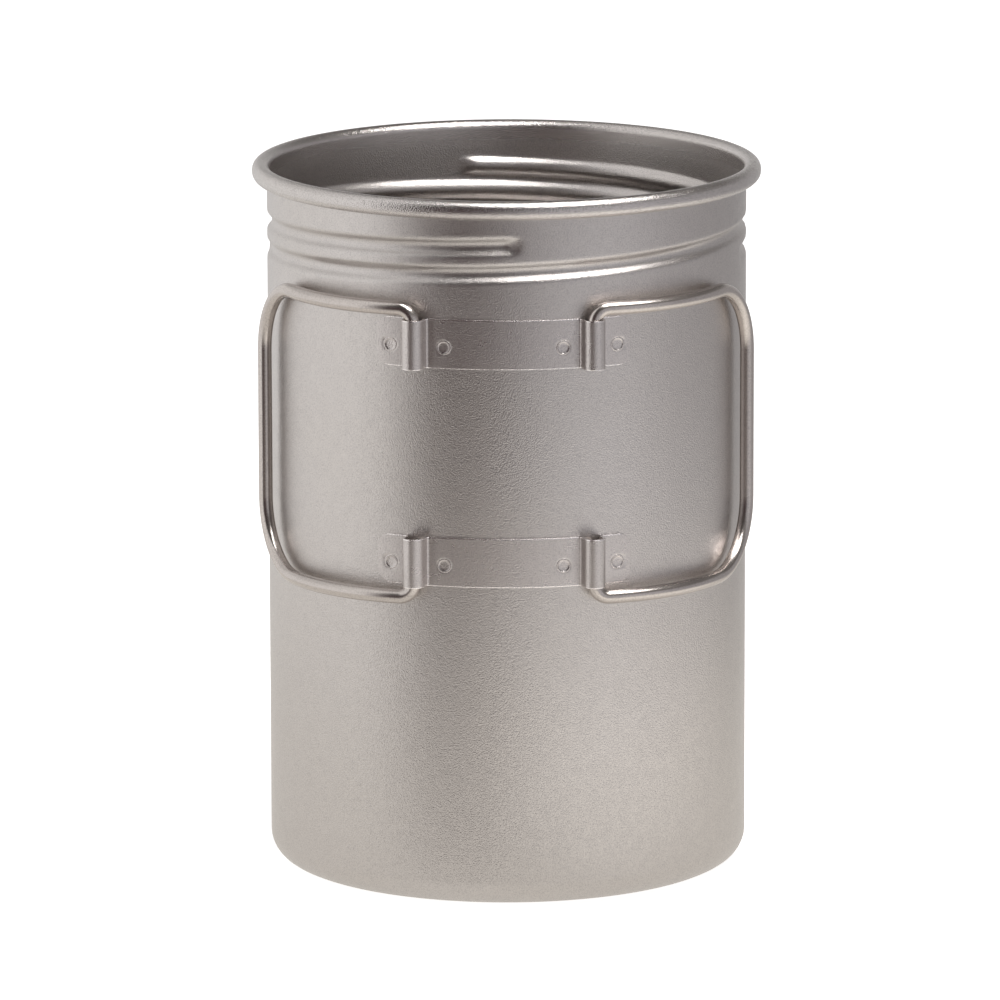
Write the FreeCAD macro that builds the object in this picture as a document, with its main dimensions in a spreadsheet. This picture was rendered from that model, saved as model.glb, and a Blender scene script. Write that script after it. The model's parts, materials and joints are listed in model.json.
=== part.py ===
import FreeCAD, Part
import math
import os

import Sketcher
from FreeCAD import Placement, Rotation, Vector

# A one-litre camping pot in thin titanium sheet, in millimetres.
# The frame: origin at the centre of the base, +Z up along the pot's axis, and the two
# folding handles on the front, which is the -Y side. Angles round the pot are measured
# from the front, -Y, towards +X.

doc = FreeCAD.newDocument("camping_pot")
sheet = doc.addObject("Spreadsheet::Sheet", "Dimensions")

DIMENSIONS = (
    ("pot_diameter", 96.0, "outside of the straight wall"),
    ("pot_height", 142.3, "from the base to the top of the rolled rim"),
    ("pot_wall", 0.5, "sheet thickness of the pot"),
    ("base_corner_radius", 5.25, "outside radius between base and wall"),
    ("rim_overhang", 2.96, "how far the rolled rim stands out from the wall"),
    ("rim_height", 3.8, "height of the rolled rim"),
    ("rim_slit", 0.2, "gap left between the end of the roll and the wall"),
    ("thread_lead", 10.2, "rise of one thread in a whole turn"),
    ("thread_sweep", 284.0, "degrees that each thread runs round the neck"),
    ("thread_drop", 9.2, "from the top of the rim to the upper end of each thread"),
    ("first_thread_end", 2.35, "degrees from the front to the upper end of thread one"),
    ("second_thread_turn", 188.0, "degrees from thread one to thread two"),
    ("thread_tool_radius", 2.2, "radius of the round section that presses the groove"),
    ("thread_depth", 1.0, "how deep the groove is pressed into the wall"),
    ("wire_diameter", 2.8, "handle wire"),
    ("wire_gap", 1.0, "free space between the wall and the hinge pins"),
    ("hinge_spacing", 35.6, "between the two hinge axes"),
    ("hinge_clearance", 0.25, "round the pin inside its knuckle"),
    ("strap_thickness", 0.5, "sheet thickness of the hinge straps"),
    ("strap_width", 9.8, "height of a strap on the wall"),
    ("strap_gap", 0.04, "between the strap and the wall that it is welded to"),
    ("strap_tail", 8.5, "along the wall from a hinge axis to the strap's end"),
    ("strap_corner_radius", 2.5, "rounded corners of the strap's ends"),
    ("upper_strap_drop", 23.85, "from the top of the rim to the upper strap's upper edge"),
    ("strap_spacing", 43.65, "from an edge of the upper strap to the same edge below"),
    ("knuckle_blend", 0.55, "radius where a knuckle's flank leaves the strap"),
    ("weld_diameter", 2.4, "spot weld"),
    ("weld_dish", 0.28, "depth of the dimple left by the electrode"),
    ("weld_reach", 5.6, "along the wall from a hinge axis to the welds beside it"),
    ("weld_drop", 0.7, "how far the welds sit below the strap's middle"),
    ("pin_bend_radius", 2.9, "centre line of the bend between pin and arm"),
    ("pin_bend_margin", 0.05, "least gap between that bend and the knuckle's mouth"),
    ("pin_recess", 0.8, "from the pin's end to the knuckle's far edge"),
    ("pin_chamfer", 0.35, "on the cut ends of the wire"),
    ("arm_curve_radius", 34.0, "centre line of the arm, curved round the pot"),
    ("arm_length", 29.3, "curved length of an arm"),
    ("handle_corner_radius", 14.0, "centre line of the corner between arm and grip"),
    ("grip_gap", 1.0, "between the folded grip and the wall"),
)

for row, (alias, size, meaning) in enumerate(DIMENSIONS, start=1):
    sheet.set(f"A{row}", alias)
    sheet.set(f"B{row}", str(size))
    sheet.setAlias(f"B{row}", alias)
    sheet.set(f"C{row}", meaning)
doc.recompute()

# Sizes that follow from the driving ones, as expressions on the sheet.
POT_RADIUS = "(Dimensions.pot_diameter / 2)"
RIM_ROLL_RADIUS = "((Dimensions.rim_overhang + Dimensions.pot_wall) / 2)"
THREAD_RADIUS = f"({POT_RADIUS} - Dimensions.thread_depth + Dimensions.thread_tool_radius)"
THREAD_RISE = "(Dimensions.thread_lead * Dimensions.thread_sweep / 360)"
THREAD_TOP = "(Dimensions.pot_height - Dimensions.thread_drop)"
WIRE_RADIUS = "(Dimensions.wire_diameter / 2)"
HINGE_RADIUS = f"({POT_RADIUS} + Dimensions.wire_gap + {WIRE_RADIUS})"
HINGE_ANGLE = f"asin(Dimensions.hinge_spacing / 2 / {HINGE_RADIUS})"
STRAP_INSIDE = f"({POT_RADIUS} + Dimensions.strap_gap)"
STRAP_OUTSIDE = f"({STRAP_INSIDE} + Dimensions.strap_thickness)"
KNUCKLE_INSIDE = f"({WIRE_RADIUS} + Dimensions.hinge_clearance)"
KNUCKLE_OUTSIDE = f"({KNUCKLE_INSIDE} + Dimensions.strap_thickness)"
UPPER_STRAP_LEVEL = (
    "(Dimensions.pot_height - Dimensions.upper_strap_drop - Dimensions.strap_width)"
)
LOWER_STRAP_LEVEL = f"({UPPER_STRAP_LEVEL} - Dimensions.strap_spacing)"


def value(expression):
    """The number that an expression on the sheet has now, in millimetres or degrees."""
    found = sheet.evalExpression(expression)
    return float(getattr(found, "Value", found))


def arc_angle(length):
    """The angle that a length along the wall spans."""
    return f"({length} / {POT_RADIUS} * 180 / pi)"


# ---------------------------------------------------------------- sketch helpers

def line(sketch, start, end):
    return sketch.addGeometry(Part.LineSegment(Vector(*start, 0), Vector(*end, 0)), False)


def arc(sketch, centre, radius, first, last):
    """An arc that runs counter-clockwise between two angles in degrees."""
    circle = Part.Circle(Vector(*centre, 0), Vector(0, 0, 1), radius)
    round_arc = Part.ArcOfCircle(circle, math.radians(first), math.radians(last))
    return sketch.addGeometry(round_arc, False)


def rule(sketch, kind, *where):
    sketch.addConstraint(Sketcher.Constraint(kind, *where))


def dimension(sketch, name, kind, where, expression):
    """A named dimension of a sketch, bound to the sheet."""
    index = sketch.addConstraint(Sketcher.Constraint(kind, *where, value(expression)))
    sketch.renameConstraint(index, name)
    sketch.setExpression("Constraints." + name, expression)


def from_origin(sketch, name, direction, point, expression):
    """The distance of a point, given as (geometry, end), from the sketch's origin."""
    dimension(sketch, name, direction, (-1, 1, *point), expression)


def new_body(label):
    body = doc.addObject("PartDesign::Body", label)
    body.Label = label
    return body


def new_sketch(body, name, plane, axis=None, turn=None, lift=None):
    """A sketch on one of the body's own origin planes, turned about an axis or lifted."""
    sketch = body.newObject("Sketcher::SketchObject", name)
    support = [feature for feature in body.Origin.OriginFeatures if feature.Role == plane]
    sketch.AttachmentSupport = [(support[0], "")]
    sketch.MapMode = "FlatFace"
    if turn:
        sketch.AttachmentOffset = Placement(Vector(), Rotation(axis, value(turn)))
        sketch.setExpression("AttachmentOffset.Rotation.Angle", turn)
    if lift:
        sketch.setExpression("AttachmentOffset.Base.z", lift)
    return sketch


# How the sketcher counts a line's or an arc's points, and the sketch's own axes.
START = 1
END = 2
CENTRE = 3
H_AXIS = -1
V_AXIS = -2

SIDES = (("left", -1), ("right", 1))

# ---------------------------------------------------------------- the pot body

# A thread's rounded ends are turned a little smaller than its groove, so that no two
# round faces touch along a line.
THREAD_END_SCALE = 0.98


def draw_pot_wall(sketch):
    """The drawn sheet from the middle of the base to the end of the rolled rim."""
    radius = value(POT_RADIUS)
    wall = value("Dimensions.pot_wall")
    height = value("Dimensions.pot_height")
    corner = value("Dimensions.base_corner_radius")
    roll = value(RIM_ROLL_RADIUS)
    roll_x = radius - wall + roll
    roll_top = height - roll
    roll_low = height - value("Dimensions.rim_height") + roll
    tip_x = radius + value("Dimensions.rim_slit")
    tip = -math.degrees(math.acos((tip_x - roll_x) / roll))
    tip_way = (math.cos(math.radians(tip)), math.sin(math.radians(tip)))
    inner_tip = (roll_x + (roll - wall) * tip_way[0], roll_low + (roll - wall) * tip_way[1])
    outer_tip = (roll_x + roll * tip_way[0], roll_low + roll * tip_way[1])

    base = line(sketch, (0, 0), (radius - corner, 0))
    corner_out = arc(sketch, (radius - corner, corner), corner, -90, 0)
    wall_out = line(sketch, (radius, corner), (radius, roll_top))
    roll_in = arc(sketch, (roll_x, roll_top), roll - wall, 0, 180)
    drop_in = line(sketch, (roll_x + roll - wall, roll_top), (roll_x + roll - wall, roll_low))
    tuck_in = arc(sketch, (roll_x, roll_low), roll - wall, tip, 0)
    sheet_end = line(sketch, inner_tip, outer_tip)
    tuck_out = arc(sketch, (roll_x, roll_low), roll, tip, 0)
    drop_out = line(sketch, (roll_x + roll, roll_low), (roll_x + roll, roll_top))
    roll_out = arc(sketch, (roll_x, roll_top), roll, 0, 180)
    wall_in = line(sketch, (radius - wall, roll_top), (radius - wall, corner))
    corner_in = arc(sketch, (radius - corner, corner), corner - wall, -90, 0)
    floor = line(sketch, (radius - corner, wall), (0, wall))
    middle = line(sketch, (0, wall), (0, 0))

    rule(sketch, "Coincident", base, START, -1, 1)
    rule(sketch, "Horizontal", base)
    rule(sketch, "Tangent", base, END, corner_out, START)
    rule(sketch, "Tangent", corner_out, END, wall_out, START)
    rule(sketch, "Vertical", wall_out)
    rule(sketch, "Tangent", wall_out, END, roll_in, END)
    rule(sketch, "Tangent", roll_in, START, drop_in, START)
    rule(sketch, "Vertical", drop_in)
    rule(sketch, "Tangent", drop_in, END, tuck_in, END)
    rule(sketch, "Coincident", tuck_in, START, sheet_end, START)
    rule(sketch, "Coincident", sheet_end, END, tuck_out, START)
    rule(sketch, "PointOnObject", tuck_in, CENTRE, sheet_end)
    rule(sketch, "Coincident", tuck_in, CENTRE, tuck_out, CENTRE)
    rule(sketch, "Tangent", tuck_out, END, drop_out, START)
    rule(sketch, "Tangent", drop_out, END, roll_out, START)
    rule(sketch, "Vertical", drop_out)
    rule(sketch, "Coincident", roll_in, CENTRE, roll_out, CENTRE)
    rule(sketch, "Vertical", roll_in, CENTRE, tuck_in, CENTRE)
    rule(sketch, "Tangent", roll_out, END, wall_in, START)
    rule(sketch, "Vertical", wall_in)
    rule(sketch, "Tangent", wall_in, END, corner_in, END)
    rule(sketch, "Coincident", corner_in, CENTRE, corner_out, CENTRE)
    rule(sketch, "Tangent", corner_in, START, floor, START)
    rule(sketch, "Horizontal", floor)
    rule(sketch, "Coincident", floor, END, middle, START)
    rule(sketch, "Vertical", middle)
    rule(sketch, "Coincident", middle, END, base, START)

    from_origin(sketch, "pot_radius", "DistanceX", (wall_out, START), POT_RADIUS)
    from_origin(sketch, "inner_radius", "DistanceX", (wall_in, START),
                f"{POT_RADIUS} - Dimensions.pot_wall")
    dimension(sketch, "base_corner", "Radius", (corner_out,), "Dimensions.base_corner_radius")
    dimension(sketch, "roll_radius", "Radius", (roll_out,), RIM_ROLL_RADIUS)
    from_origin(sketch, "roll_level", "DistanceY", (roll_out, CENTRE),
                f"Dimensions.pot_height - {RIM_ROLL_RADIUS}")
    from_origin(sketch, "tuck_level", "DistanceY", (tuck_out, CENTRE),
                f"Dimensions.pot_height - Dimensions.rim_height + {RIM_ROLL_RADIUS}")
    from_origin(sketch, "roll_end", "DistanceX", (tuck_out, START),
                f"{POT_RADIUS} + Dimensions.rim_slit")


def draw_thread_section(sketch, radius, face, level, half=False):
    """A round section centred outside the wall, cut off by an upright line.

    radius is the section's radius, face the radius of the upright line and level the
    height of the centre. A half section is closed by a level line that it is turned about.
    """
    centre = (value(THREAD_RADIUS), value(level))
    size = value(radius)
    cut = value(face)
    opening = math.degrees(math.acos((cut - centre[0]) / size))
    reach = size * math.sin(math.radians(opening))
    last = 180 if half else 360 - opening
    low = 0 if half else -reach
    bow = arc(sketch, centre, size, opening, last)
    upright = line(sketch, (cut, centre[1] + low), (cut, centre[1] + reach))
    rule(sketch, "Coincident", upright, END, bow, START)
    rule(sketch, "Vertical", upright)
    if half:
        level_line = line(sketch, (centre[0] - size, centre[1]), (cut, centre[1]))
        rule(sketch, "Coincident", level_line, START, bow, END)
        rule(sketch, "Coincident", level_line, END, upright, START)
        rule(sketch, "Horizontal", level_line)
        rule(sketch, "Horizontal", bow, END, bow, CENTRE)
    else:
        rule(sketch, "Coincident", upright, START, bow, END)
    from_origin(sketch, "centre_radius", "DistanceX", (bow, CENTRE), THREAD_RADIUS)
    from_origin(sketch, "centre_level", "DistanceY", (bow, CENTRE), level)
    dimension(sketch, "section_radius", "Radius", (bow,), radius)
    from_origin(sketch, "face_radius", "DistanceX", (upright, START), face)


def press_thread(body, name, end_angle, adds):
    """One thread: the ridge inside the neck where adds is true, or the groove outside."""
    if adds:
        radius = "(Dimensions.thread_tool_radius + Dimensions.pot_wall)"
        face = f"({POT_RADIUS} - Dimensions.pot_wall / 2)"
    else:
        radius = "Dimensions.thread_tool_radius"
        face = f"({POT_RADIUS} + Dimensions.pot_wall)"
    start_turn = f"{end_angle} - Dimensions.thread_sweep - 90"
    start_level = f"{THREAD_TOP} - {THREAD_RISE}"
    upright = Vector(0, 1, 0)
    section = new_sketch(body, name + "_section", "XZ_Plane", upright, start_turn)
    draw_thread_section(section, radius, face, start_level)
    helix_kind = "PartDesign::AdditiveHelix" if adds else "PartDesign::SubtractiveHelix"
    helix = body.newObject(helix_kind, name + "_helix")
    helix.Profile = (section, [""])
    helix.ReferenceAxis = (section, ["V_Axis"])
    helix.Mode = "pitch-turns-angle"
    helix.setExpression("Pitch", "Dimensions.thread_lead")
    helix.setExpression("Turns", "Dimensions.thread_sweep / 360")
    ball = f"{radius} * {THREAD_END_SCALE}"
    ends = (("start", start_turn, start_level), ("end", f"{end_angle} - 90", THREAD_TOP))
    for place, turn, level in ends:
        half = new_sketch(body, f"{name}_{place}_section", "XZ_Plane", upright, turn)
        draw_thread_section(half, ball, face, level, half=True)
        turned_kind = "PartDesign::Revolution" if adds else "PartDesign::Groove"
        turned = body.newObject(turned_kind, f"{name}_{place}")
        turned.Profile = (half, [""])
        turned.ReferenceAxis = (half, ["Edge3"])
        turned.Angle = 360


def make_pot_body():
    body = new_body("pot_body")
    wall_sketch = new_sketch(body, "wall_sketch", "XZ_Plane")
    draw_pot_wall(wall_sketch)
    shell = body.newObject("PartDesign::Revolution", "wall_shell")
    shell.Profile = (wall_sketch, [""])
    shell.ReferenceAxis = (wall_sketch, ["V_Axis"])
    shell.Angle = 360
    first = "Dimensions.first_thread_end"
    second = "(Dimensions.first_thread_end + Dimensions.second_thread_turn)"
    for adds, shape_name in ((True, "ridge"), (False, "groove")):
        press_thread(body, shape_name + "_one", first, adds)
        press_thread(body, shape_name + "_two", second, adds)
    return body


# ---------------------------------------------------------------- the hinge straps

STRAP_END_ANGLE = f"({HINGE_ANGLE} + {arc_angle('Dimensions.strap_tail')} * 1 deg)"

# How far a point may be from a place, in millimetres, and still count as there.
NEARNESS = 0.01


def draw_strip(sketch):
    """The strap's plan: a band that lies on the wall, level with the hinge side."""
    outside = value(STRAP_OUTSIDE)
    inside = value(STRAP_INSIDE)
    half = value(STRAP_END_ANGLE)
    outer = arc(sketch, (0, 0), outside, -90 - half, -90 + half)
    inner = arc(sketch, (0, 0), inside, -90 - half, -90 + half)
    right = math.radians(half)
    outer_x, outer_y = outside * math.sin(right), -outside * math.cos(right)
    inner_x, inner_y = inside * math.sin(right), -inside * math.cos(right)
    left_end = line(sketch, (-outer_x, outer_y), (-inner_x, inner_y))
    right_end = line(sketch, (inner_x, inner_y), (outer_x, outer_y))
    rule(sketch, "Coincident", outer, CENTRE, -1, 1)
    rule(sketch, "Coincident", inner, CENTRE, -1, 1)
    rule(sketch, "Coincident", left_end, START, outer, START)
    rule(sketch, "Coincident", left_end, END, inner, START)
    rule(sketch, "Coincident", right_end, START, inner, END)
    rule(sketch, "Coincident", right_end, END, outer, END)
    rule(sketch, "PointOnObject", -1, 1, left_end)
    rule(sketch, "PointOnObject", -1, 1, right_end)
    rule(sketch, "Horizontal", outer, START, outer, END)
    dimension(sketch, "outside_radius", "Radius", (outer,), STRAP_OUTSIDE)
    dimension(sketch, "inside_radius", "Radius", (inner,), STRAP_INSIDE)
    from_origin(sketch, "half_width", "DistanceX", (outer, END),
                f"{STRAP_OUTSIDE} * sin({STRAP_END_ANGLE})")


def draw_knuckle(sketch, radius, root):
    """A round-nosed outline about the hinge axis, open towards the wall at root."""
    size = value(radius)
    axis_x = value(HINGE_RADIUS)
    root_x = value(root)
    nose = arc(sketch, (axis_x, 0), size, -90, 90)
    upper = line(sketch, (axis_x, size), (root_x, size))
    back = line(sketch, (root_x, size), (root_x, -size))
    lower = line(sketch, (root_x, -size), (axis_x, -size))
    rule(sketch, "Tangent", nose, END, upper, START)
    rule(sketch, "Horizontal", upper)
    rule(sketch, "Coincident", upper, END, back, START)
    rule(sketch, "Vertical", back)
    rule(sketch, "Coincident", back, END, lower, START)
    rule(sketch, "Horizontal", lower)
    rule(sketch, "Tangent", lower, END, nose, START)
    rule(sketch, "PointOnObject", nose, CENTRE, H_AXIS)
    dimension(sketch, "knuckle_radius", "Radius", (nose,), radius)
    from_origin(sketch, "hinge_radius", "DistanceX", (nose, CENTRE), HINGE_RADIUS)
    from_origin(sketch, "root_radius", "DistanceX", (back, START), root)


def sheet_circle(sketch, radius, level):
    """A circle on the sketch's upright middle line, at a height above the base."""
    circle = Part.Circle(Vector(0, value(level), 0), Vector(0, 0, 1), value(radius))
    ring = sketch.addGeometry(circle, False)
    rule(sketch, "PointOnObject", ring, CENTRE, V_AXIS)
    dimension(sketch, "radius", "Radius", (ring,), radius)
    from_origin(sketch, "level", "DistanceY", (ring, CENTRE), level)
    return sketch


def upright_edges(shape, offset, radius):
    """Names of the upright edges at an offset to either side of a hinge's radius line."""
    names = []
    for number, edge in enumerate(shape.Edges, start=1):
        middle = edge.valueAt((edge.FirstParameter + edge.LastParameter) / 2)
        leans = abs(edge.Vertexes[0].X - edge.Vertexes[-1].X) > NEARNESS
        if len(edge.Vertexes) != 2 or leans:
            continue
        for side in (-1, 1):
            hinge = math.radians(side * value(HINGE_ANGLE))
            across = middle.x * math.cos(hinge) + middle.y * math.sin(hinge)
            near_side = abs(abs(across) - offset) < NEARNESS
            near_radius = abs(math.hypot(middle.x, middle.y) - radius) < NEARNESS
            if near_side and near_radius and middle.x * side > 0:
                names.append(f"Edge{number}")
    return names


def end_corner_edges(shape):
    """Names of the short edges through the sheet at the strap's four corners."""
    names = []
    end = math.radians(value(STRAP_END_ANGLE))
    reach = value(STRAP_INSIDE) * math.sin(end) - NEARNESS
    for number, edge in enumerate(shape.Edges, start=1):
        level = abs(edge.Vertexes[0].Z - edge.Vertexes[-1].Z) < NEARNESS
        outermost = min(abs(vertex.X) for vertex in edge.Vertexes) > reach
        if level and outermost:
            names.append(f"Edge{number}")
    return names


def round_edges(body, base, name, edges, radius):
    fillet = body.newObject("PartDesign::Fillet", name)
    fillet.Base = (base, edges)
    fillet.Radius = value(radius)
    fillet.setExpression("Radius", radius)
    doc.recompute()
    return fillet


def weld_places():
    """Name and angle of each spot weld of a strap, one on either side of each hinge."""
    step = arc_angle("Dimensions.weld_reach") + " * 1 deg"
    for side_name, side in SIDES:
        for place, way in (("inner", -1), ("outer", 1)):
            yield f"{side_name}_{place}", f"({side} * ({HINGE_ANGLE} + {way} * {step}))"


def make_strap(label, level):
    """One strap: a welded band with a knuckle round each hinge pin."""
    body = new_body(label)
    flat = Vector(0, 0, 1)
    strip_sketch = new_sketch(body, label + "_strip_sketch", "XY_Plane", lift=level)
    draw_strip(strip_sketch)
    strip = body.newObject("PartDesign::Pad", label + "_strip")
    strip.Profile = (strip_sketch, [""])
    strip.setExpression("Length", "Dimensions.strap_width")
    for side_name, side in SIDES:
        turn = f"{side} * {HINGE_ANGLE} - 90 deg"
        outline = new_sketch(body, f"{label}_{side_name}_knuckle_sketch", "XY_Plane",
                             flat, turn, level)
        draw_knuckle(outline, KNUCKLE_OUTSIDE, f"{STRAP_INSIDE} + Dimensions.strap_thickness / 2")
        knuckle = body.newObject("PartDesign::Pad", f"{label}_{side_name}_knuckle")
        knuckle.Profile = (outline, [""])
        knuckle.setExpression("Length", "Dimensions.strap_width")
    for side_name, side in SIDES:
        turn = f"{side} * {HINGE_ANGLE} - 90 deg"
        outline = new_sketch(body, f"{label}_{side_name}_eye_sketch", "XY_Plane",
                             flat, turn, level)
        draw_knuckle(outline, KNUCKLE_INSIDE, f"{STRAP_INSIDE} - Dimensions.strap_thickness")
        eye = body.newObject("PartDesign::Pocket", f"{label}_{side_name}_eye")
        eye.Profile = (outline, [""])
        eye.Type = "ThroughAll"
        eye.Reversed = True
    weld_level = f"{level} + Dimensions.strap_width / 2 - Dimensions.weld_drop"
    for place, angle in weld_places():
        spot = new_sketch(body, f"{label}_{place}_hole_sketch", "YZ_Plane",
                          Vector(0, 1, 0), f"{angle} - 90 deg")
        hole = sheet_circle(spot, "Dimensions.weld_diameter / 2", weld_level)
        pocket = body.newObject("PartDesign::Pocket", f"{label}_{place}_hole")
        pocket.Profile = (hole, [""])
        pocket.Type = "ThroughAll"
        pocket.Reversed = True
    doc.recompute()
    before = body.Tip
    concave = upright_edges(before.Shape, value(KNUCKLE_OUTSIDE), value(STRAP_OUTSIDE))
    blend = round_edges(body, before, label + "_blend", concave, "Dimensions.knuckle_blend")
    convex = upright_edges(blend.Shape, value(KNUCKLE_INSIDE), value(STRAP_INSIDE))
    mouth = round_edges(body, blend, label + "_mouth", convex,
                        "Dimensions.knuckle_blend + Dimensions.strap_thickness")
    corners = end_corner_edges(mouth.Shape)
    round_edges(body, mouth, label + "_corners", corners, "Dimensions.strap_corner_radius")
    return body


# ---------------------------------------------------------------- the spot welds

def radial_placement(angle, radius, level):
    """A placement on the pot's side whose own Z points straight out from the axis."""
    turn = f"rotation(vector(0; 0; 1); {angle} - 90 deg)"
    lean = "rotation(vector(0; 1; 0); 90 deg)"
    out = f"placement(vector({radius}; 0; {level}); {lean})"
    return f"placement(vector(0; 0; 0); {turn}) * {out}"


def make_welds(label, level):
    """Four nuggets that fill the strap's holes down to the wall, each with a dished top."""
    weld_level = f"({level} + Dimensions.strap_width / 2 - Dimensions.weld_drop)"
    weld_radius = "(Dimensions.weld_diameter / 2)"
    dish_radius = f"(({weld_radius} ^ 2 + Dimensions.weld_dish ^ 2) / 2 / Dimensions.weld_dish)"
    slugs = []
    dishes = []
    for place, angle in weld_places():
        slug = doc.addObject("Part::Cylinder", f"{label}_{place}_slug")
        slug.setExpression("Radius", weld_radius)
        slug.setExpression("Height", f"{STRAP_OUTSIDE} - {POT_RADIUS} + Dimensions.pot_wall")
        root = f"({POT_RADIUS} - Dimensions.pot_wall)"
        slug.setExpression("Placement", radial_placement(angle, root, weld_level))
        slugs.append(slug)
        dish = doc.addObject("Part::Sphere", f"{label}_{place}_dish")
        dish.setExpression("Radius", dish_radius)
        reach = f"({STRAP_OUTSIDE} - Dimensions.weld_dish + {dish_radius})"
        dish.setExpression("Placement", radial_placement(angle, reach, weld_level))
        dishes.append(dish)
    slug_group = doc.addObject("Part::Compound", label + "_slugs")
    slug_group.Links = slugs
    dish_group = doc.addObject("Part::Compound", label + "_dishes")
    dish_group.Links = dishes
    wall = doc.addObject("Part::Cylinder", label + "_wall")
    wall.setExpression("Radius", POT_RADIUS)
    wall.setExpression("Height", "Dimensions.pot_height")
    seated = doc.addObject("Part::Cut", label + "_seated")
    seated.Base = slug_group
    seated.Tool = wall
    welds = doc.addObject("Part::Cut", label)
    welds.Base = seated
    welds.Tool = dish_group
    welds.Label = label
    return welds


# ---------------------------------------------------------------- the wire handles

# A bend may start inside its knuckle, as far as the loose fit leaves room for it.
BEND_INSIDE = f"(Dimensions.pin_bend_radius - {WIRE_RADIUS})"
BEND_PLAY = "(Dimensions.hinge_clearance - Dimensions.pin_bend_margin)"
PIN_BEND_SINK = f"sqrt({BEND_INSIDE} ^ 2 - ({BEND_INSIDE} - {BEND_PLAY}) ^ 2)"
BEND_ABOVE = f"(Dimensions.pin_bend_radius - {PIN_BEND_SINK})"
UPPER_ARM_LEVEL = f"({UPPER_STRAP_LEVEL} + Dimensions.strap_width + {BEND_ABOVE})"
LOWER_ARM_LEVEL = f"({LOWER_STRAP_LEVEL} - {BEND_ABOVE})"


def quarter_bend(start, start_way, end_way, radius):
    """A quarter circle that leaves start along start_way and ends along end_way."""
    end = start + start_way * radius + end_way * radius
    centre = start + end_way * radius
    middle = centre + (start_way - end_way) * (radius * math.sqrt(0.5))
    return Part.Arc(start, middle, end).toShape(), end


def folded_direction(hinge, curve, turn, lead_in):
    """The way that an arm leaves its pin, so that the grip stands its gap off the wall.

    Pin, grip and pot axis make a triangle: the handle's own plan gives the side from pin
    to grip, and the way it leans from the arm's first direction.
    """
    corner = value("Dimensions.handle_corner_radius")
    along = lead_in + curve * math.sin(turn) + corner * math.cos(turn)
    inward = curve * (1 - math.cos(turn)) + corner * math.sin(turn)
    span = math.hypot(along, inward)
    hinge_radius = value(HINGE_RADIUS)
    grip_radius = value(f"{POT_RADIUS} + Dimensions.grip_gap + {WIRE_RADIUS}")
    square = hinge_radius ** 2 + span ** 2 - grip_radius ** 2
    to_axis = math.acos(square / (2 * hinge_radius * span))
    return hinge + math.pi / 2 - to_axis - math.atan2(inward, along)


def arm_plan(side):
    """Start, middle and end of an arm in plan, and the directions at both ends."""
    hinge = math.radians(value(HINGE_ANGLE))
    curve = value("Dimensions.arm_curve_radius")
    turn = value("Dimensions.arm_length") / curve
    lead_in = value("Dimensions.pin_bend_radius")
    first = folded_direction(hinge, curve, turn, lead_in)
    pivot = Vector(math.sin(hinge), -math.cos(hinge), 0) * value(HINGE_RADIUS)
    start = pivot + Vector(math.cos(first), math.sin(first), 0) * lead_in

    def point(way):
        step = Vector(math.sin(way) - math.sin(first), math.cos(first) - math.cos(way), 0)
        return start + step * curve

    def flip(vector):
        return Vector(side * vector.x, vector.y, vector.z)

    last = first + turn
    ways = [Vector(math.cos(way), math.sin(way), 0) for way in (first, last)]
    points = [start, point(first + turn / 2), point(last)]
    return flip(pivot), [flip(spot) for spot in points], [flip(way) for way in ways]


def wire_path(side):
    """The centre line of a handle, from the upper pin's end round to the lower pin's."""
    pivot, plan, ways = arm_plan(side)
    up = Vector(0, 0, 1)
    down = Vector(0, 0, -1)
    bend = value("Dimensions.pin_bend_radius")
    corner = value("Dimensions.handle_corner_radius")
    top = up * value(UPPER_ARM_LEVEL)
    low = up * value(LOWER_ARM_LEVEL)
    recess = value("Dimensions.pin_recess")
    upper_end = pivot + up * (value(UPPER_STRAP_LEVEL) + recess)
    lower_end = pivot + up * (value(f"{LOWER_STRAP_LEVEL} + Dimensions.strap_width") - recess)

    upper_pin = pivot + top - up * bend
    upper_bend, _ = quarter_bend(upper_pin, up, ways[0], bend)
    upper_arm = Part.Arc(*[spot + top for spot in plan]).toShape()
    upper_corner, grip_top = quarter_bend(plan[2] + top, ways[1], down, corner)
    grip_low = Vector(grip_top.x, grip_top.y, low.z + corner)
    lower_corner, arm_end = quarter_bend(grip_low, down, ways[1] * -1, corner)
    lower_arm = Part.Arc(*[spot + low for spot in reversed(plan)]).toShape()
    lower_bend, lower_pin = quarter_bend(plan[0] + low, ways[0] * -1, up, bend)
    edges = [
        Part.LineSegment(upper_end, upper_pin).toShape(),
        upper_bend,
        upper_arm,
        upper_corner,
        Part.LineSegment(grip_top, grip_low).toShape(),
        lower_corner,
        lower_arm,
        lower_bend,
        Part.LineSegment(lower_pin, lower_end).toShape(),
    ]
    return Part.Wire(edges), upper_end


def make_handle(label, side):
    """A handle bent from one length of wire, with both ends chamfered."""
    wire, pin_end = wire_path(side)
    path = doc.addObject("Part::Feature", label + "_path")
    path.Shape = wire
    section = doc.addObject("Part::Circle", label + "_section")
    section.setExpression("Radius", WIRE_RADIUS)
    section.Placement = Placement(pin_end, Rotation())
    rod = doc.addObject("Part::Sweep", label + "_rod")
    rod.Sections = [section]
    rod.Spine = (path, [f"Edge{number}" for number in range(1, len(wire.Edges) + 1)])
    rod.Solid = True
    rod.Frenet = False
    doc.recompute()
    ends = []
    for number, edge in enumerate(rod.Shape.Edges, start=1):
        caps = [face for face in rod.Shape.Faces if isinstance(face.Surface, Part.Plane)]
        if any(edge.isSame(rim) for cap in caps for rim in cap.Edges):
            ends.append(number)
    handle = doc.addObject("Part::Chamfer", label)
    handle.Base = rod
    chamfer = value("Dimensions.pin_chamfer")
    handle.Edges = [(number, chamfer, chamfer) for number in ends]
    handle.Label = label
    return handle


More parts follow.
